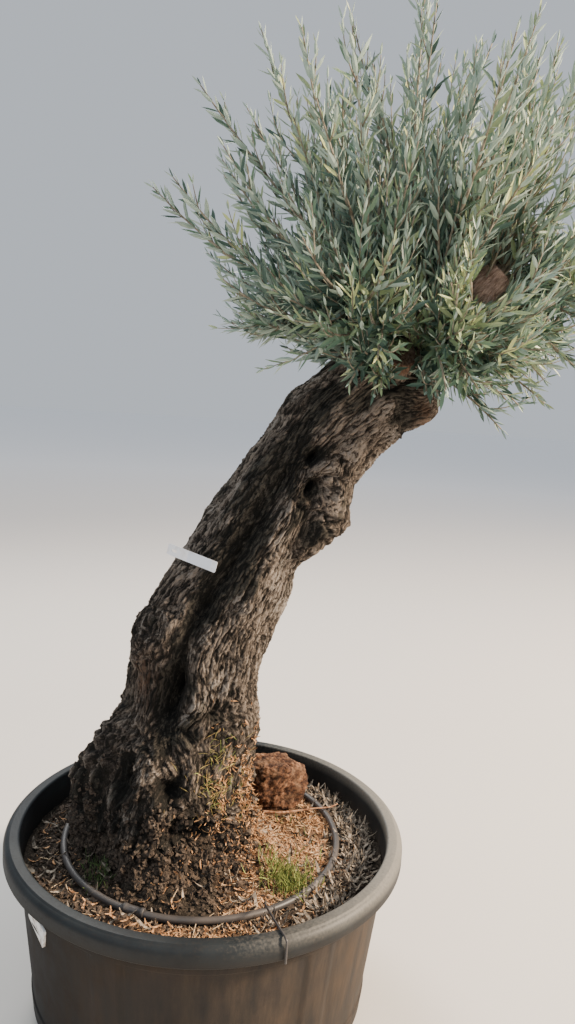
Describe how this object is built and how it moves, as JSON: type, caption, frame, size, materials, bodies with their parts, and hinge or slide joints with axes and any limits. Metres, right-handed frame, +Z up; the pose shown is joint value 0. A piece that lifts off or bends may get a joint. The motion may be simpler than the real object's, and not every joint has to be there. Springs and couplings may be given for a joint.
{
  "type": "potted olive bonsai tree",
  "caption": "Old leaning olive trunk, cut back hard, with a fountain of young leafy shoots, growing in a round plastic nursery tub with a hose ring on the soil.",
  "frame": {"origin": "centre of the tub's flat underside, on the tub's axis", "axes": "+Z up along the tub's axis, +X to the right towards the side the trunk leans to, +Y to the back"},
  "size_m": [1.5541, 1.0584, 2.569],
  "materials": {
    "tub_plastic": "weathered charcoal, dusty brown on the wall",
    "soil": "dry, reddish brown, with leaf litter",
    "hose": "dark grey, dull",
    "bark": "deeply furrowed grey-brown bark",
    "burl_wood": "rough red-brown burl",
    "foliage": "grey-green leaves with paler undersides",
    "label": "blank white strip"
  },
  "bodies": {
    "root": {"tub": "tub_plastic", "soil": "soil", "drip_ring": "hose", "feed_tube": "hose", "trunk": "bark", "basal_burl": "burl_wood", "bough_right": "bark", "bough_left": "bark", "bough_top": "bark", "bough_front_left": "bark", "bough_front_right": "bark", "bough_back_right": "bark", "bough_back_left": "bark", "cut_stub": "bark", "foliage_left": "foliage", "foliage_left_high": "foliage", "foliage_front_left": "foliage", "foliage_front_left_high": "foliage", "foliage_front_right": "foliage", "foliage_front_right_high": "foliage", "foliage_right": "foliage", "foliage_right_high": "foliage", "foliage_back_right": "foliage", "foliage_back_right_high": "foliage", "foliage_back_left": "foliage", "foliage_back_left_high": "foliage", "foliage_top": "foliage", "tag": "label"}
  },
  "joints": []
}
